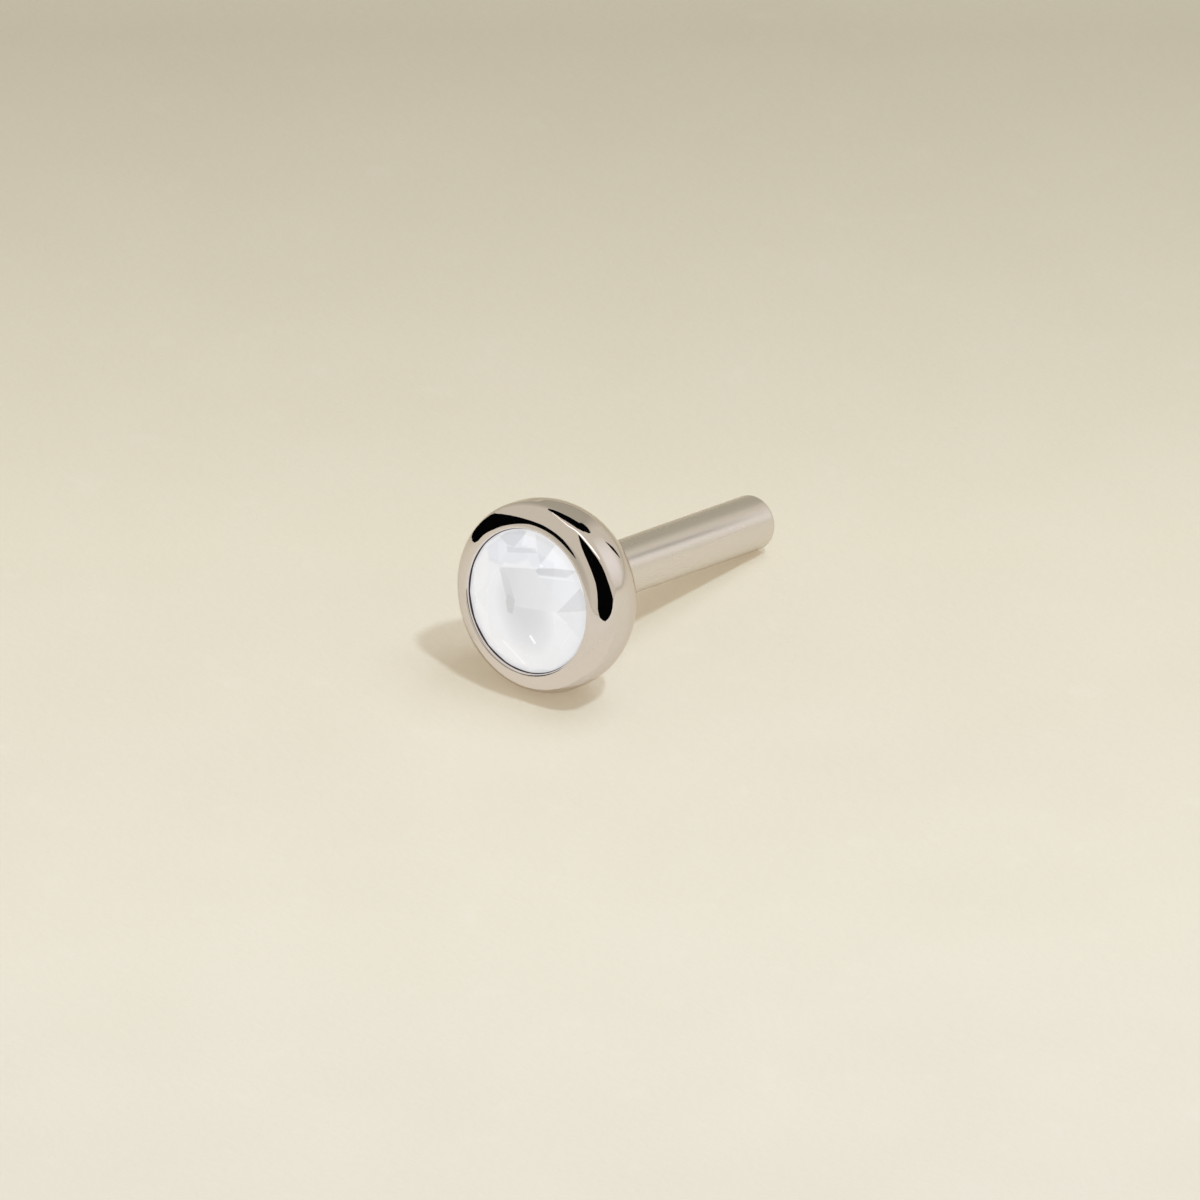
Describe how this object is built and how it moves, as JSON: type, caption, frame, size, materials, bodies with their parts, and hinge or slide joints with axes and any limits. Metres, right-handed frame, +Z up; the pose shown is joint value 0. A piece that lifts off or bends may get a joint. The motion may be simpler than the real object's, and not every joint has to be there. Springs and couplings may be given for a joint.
{
  "type": "diamond stud earring",
  "caption": "Bezel-set round diamond stud earring: a rolled white gold bezel round a faceted brilliant, soldered to a thick straight post.",
  "frame": {"origin": "on the surface that the stud lies on, under the middle of its box", "axes": "+Y is the way the post runs, +Z is up, and the stone faces -Y and about 12 degrees up"},
  "size_m": [0.0042, 0.0084, 0.0042],
  "materials": {
    "white_gold": "14 carat white gold: bright polish on the bezel and a fine satin on the post",
    "clear_stone": "polished clear diamond, which looks white in its closed setting"
  },
  "bodies": {
    "root": {"bezel_and_post": "white_gold", "diamond": "clear_stone"}
  },
  "joints": []
}
